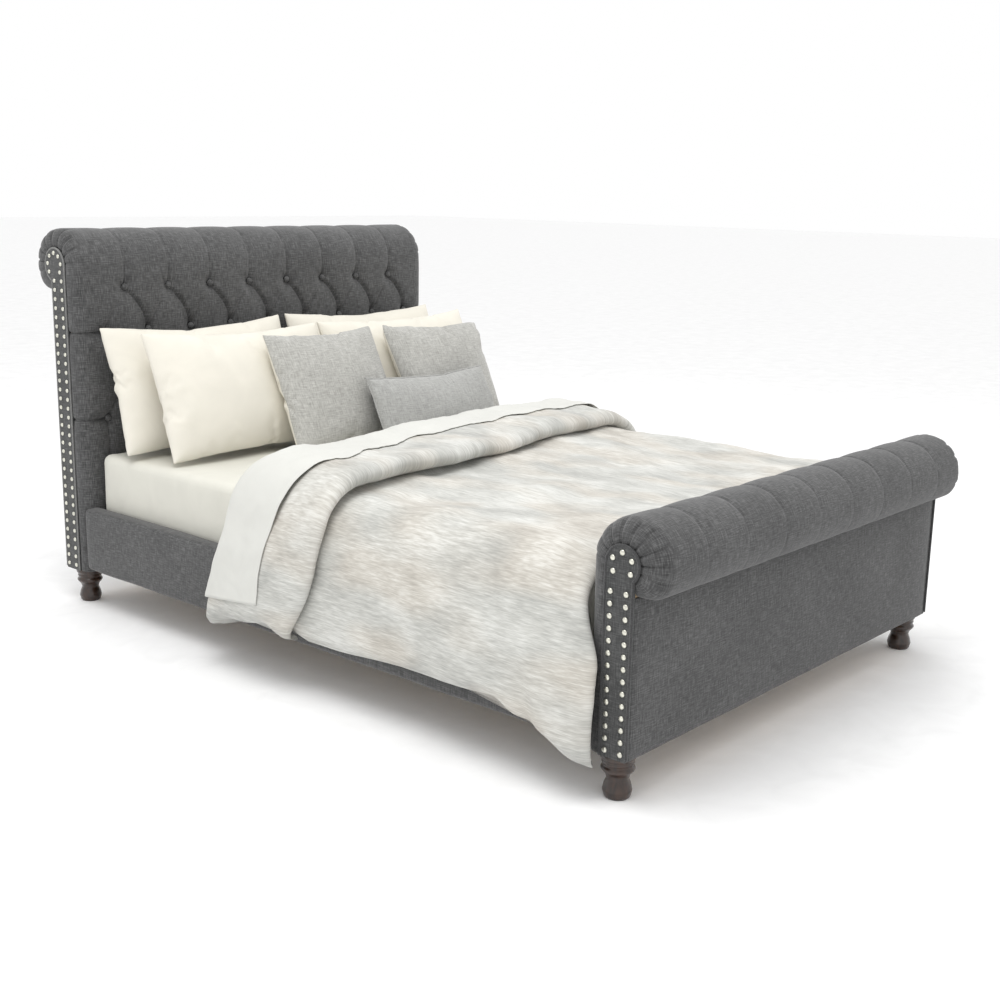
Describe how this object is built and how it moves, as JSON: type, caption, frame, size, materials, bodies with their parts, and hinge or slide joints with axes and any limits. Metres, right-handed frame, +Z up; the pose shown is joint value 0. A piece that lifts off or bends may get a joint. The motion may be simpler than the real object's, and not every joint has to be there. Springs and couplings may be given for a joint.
{
  "type": "sleigh bed",
  "caption": "Upholstered double sleigh bed with rolled, nail-trimmed head and foot boards, buttoned headboard, turned legs, mattress, duvet, pillows and cushions.",
  "frame": {"origin": "on the floor under the middle of the bed's overall length and width", "axes": "+Z up, +Y towards the headboard along the bed's length, +X to the right side seen from the foot end"},
  "size_m": [1.542, 2.346, 1.1479],
  "materials": {
    "grey_linen": "slub linen weave",
    "panel_linen": "slub linen weave",
    "welt_cord": "woven cord",
    "nail_heads": "aged nickel",
    "turned_wood": "dark stained, satin",
    "pine": "planed",
    "plywood": "sanded",
    "cardboard": "plain",
    "steel": "zinc plated",
    "black_plastic": "moulded",
    "mattress_ticking": "woven ticking",
    "cream_cotton": "percale weave",
    "duvet_cover": "streaked jacquard",
    "cushion_linen": "chambray weave",
    "lumbar_linen": "chambray weave"
  },
  "bodies": {
    "bed_frame": {"headboard_frame": "pine", "headboard_panel": "plywood", "headboard_roll_tube": "cardboard", "headboard_padding": "grey_linen", "headboard_back_cover": "grey_linen", "headboard_end_panel_left": "panel_linen", "headboard_end_panel_right": "panel_linen", "headboard_welts": "welt_cord", "headboard_nails": "nail_heads", "headboard_buttons": "grey_linen", "footboard_frame": "pine", "footboard_panel": "plywood", "footboard_roll_tube": "cardboard", "footboard_padding": "grey_linen", "footboard_outer_cover": "grey_linen", "footboard_end_panel_left": "panel_linen", "footboard_end_panel_right": "panel_linen", "footboard_welts": "welt_cord", "footboard_nails": "nail_heads", "side_rail_left": "pine", "side_rail_right": "pine", "rail_cover_left": "grey_linen", "rail_cover_right": "grey_linen", "slat_ledge_left": "pine", "slat_ledge_right": "pine", "corner_brackets": "steel", "leg_bolts": "steel", "center_beam": "pine", "center_leg_head": "pine", "center_leg_foot": "pine", "leg_head_left": "turned_wood", "leg_head_right": "turned_wood", "leg_foot_left": "turned_wood", "leg_foot_right": "turned_wood", "slat_1": "pine", "slat_2": "pine", "slat_3": "pine", "slat_4": "pine", "slat_5": "pine", "slat_6": "pine", "slat_7": "pine", "slat_8": "pine", "slat_9": "pine", "slat_10": "pine", "slat_11": "pine"},
    "mattress": {"mattress": "mattress_ticking", "fitted_sheet": "cream_cotton"},
    "duvet": {"duvet": "duvet_cover", "flat_sheet": "cream_cotton"},
    "levelling_foot_head": {"levelling_foot_head": "black_plastic"},
    "levelling_foot_foot": {"levelling_foot_foot": "black_plastic"},
    "pillow_left_rear": {"pillow_left_rear": "cream_cotton"},
    "pillow_left_front": {"pillow_left_front": "cream_cotton"},
    "pillow_right_rear": {"pillow_right_rear": "cream_cotton"},
    "pillow_right_front": {"pillow_right_front": "cream_cotton"},
    "cushion_left": {"cushion_left": "cushion_linen"},
    "cushion_right": {"cushion_right": "cushion_linen"},
    "lumbar_cushion": {"lumbar_cushion": "lumbar_linen"}
  },
  "joints": [
    {"name": "mattress_lift", "type": "slide", "parent": "bed_frame", "child": "mattress", "axis": [0, 0, 1], "range_m": [0, 0.5]},
    {"name": "duvet_lift", "type": "slide", "parent": "mattress", "child": "duvet", "axis": [0, 0, 1], "range_m": [0, 0.45]},
    {"name": "pillow_left_rear_slide", "type": "slide", "parent": "mattress", "child": "pillow_left_rear", "axis": [-1, 0, 0], "range_m": [0, 0.75]},
    {"name": "pillow_left_front_slide", "type": "slide", "parent": "mattress", "child": "pillow_left_front", "axis": [-1, 0, 0], "range_m": [0, 0.75]},
    {"name": "pillow_right_rear_slide", "type": "slide", "parent": "mattress", "child": "pillow_right_rear", "axis": [1, 0, 0], "range_m": [0, 0.75]},
    {"name": "pillow_right_front_slide", "type": "slide", "parent": "mattress", "child": "pillow_right_front", "axis": [1, 0, 0], "range_m": [0, 0.75]},
    {"name": "cushion_left_slide", "type": "slide", "parent": "mattress", "child": "cushion_left", "axis": [-1, 0, 0], "range_m": [0, 0.75]},
    {"name": "cushion_right_slide", "type": "slide", "parent": "mattress", "child": "cushion_right", "axis": [1, 0, 0], "range_m": [0, 0.75]},
    {"name": "lumbar_cushion_lift", "type": "slide", "parent": "mattress", "child": "lumbar_cushion", "axis": [0, 0, 1], "range_m": [0, 0.45]},
    {"name": "levelling_foot_head_screw", "type": "slide", "parent": "bed_frame", "child": "levelling_foot_head", "axis": [0, 0, 1], "range_m": [0, 0.012]},
    {"name": "levelling_foot_foot_screw", "type": "slide", "parent": "bed_frame", "child": "levelling_foot_foot", "axis": [0, 0, 1], "range_m": [0, 0.012]}
  ]
}
